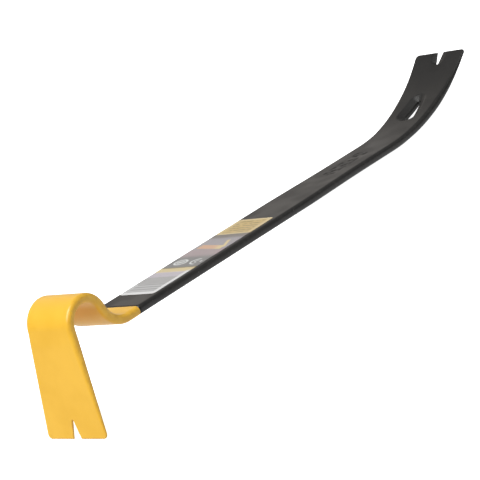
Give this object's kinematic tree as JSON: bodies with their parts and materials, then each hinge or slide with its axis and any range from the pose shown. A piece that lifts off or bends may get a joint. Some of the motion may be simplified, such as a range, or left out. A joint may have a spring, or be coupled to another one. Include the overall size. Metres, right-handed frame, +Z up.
{
  "type": "pry bar",
  "caption": "Flat forged pry bar with a yellow hooked claw, a black shank with a printed label, and an upturned flat claw with a nail slot and a drop-shaped nail hole.",
  "frame": {"origin": "middle of the lowest level of the object's box, with the bar lying as it rests on a bench: on the tip of the hooked claw and on the heel of the flat claw's bend", "axes": "+X across the bar, +Y along it from the hooked claw to the flat claw, +Z up"},
  "size_m": [0.0602, 0.5452, 0.0948],
  "materials": {
    "forged_steel": "forged spring steel, scale brushed off",
    "black_coat": "satin black baked coat with a fine orange peel, worn a little along its edges",
    "yellow_coat": "semi-gloss warm yellow baked coat, a little thicker than the black one",
    "label_adhesive": "clear pale adhesive layer",
    "label_film": "thin printed plastic film with plain coloured panels"
  },
  "bodies": {
    "root": {"forged_bar": "forged_steel", "black_coat": "black_coat", "yellow_coat": "yellow_coat", "label_adhesive": "label_adhesive", "label_film": "label_film"}
  },
  "joints": []
}
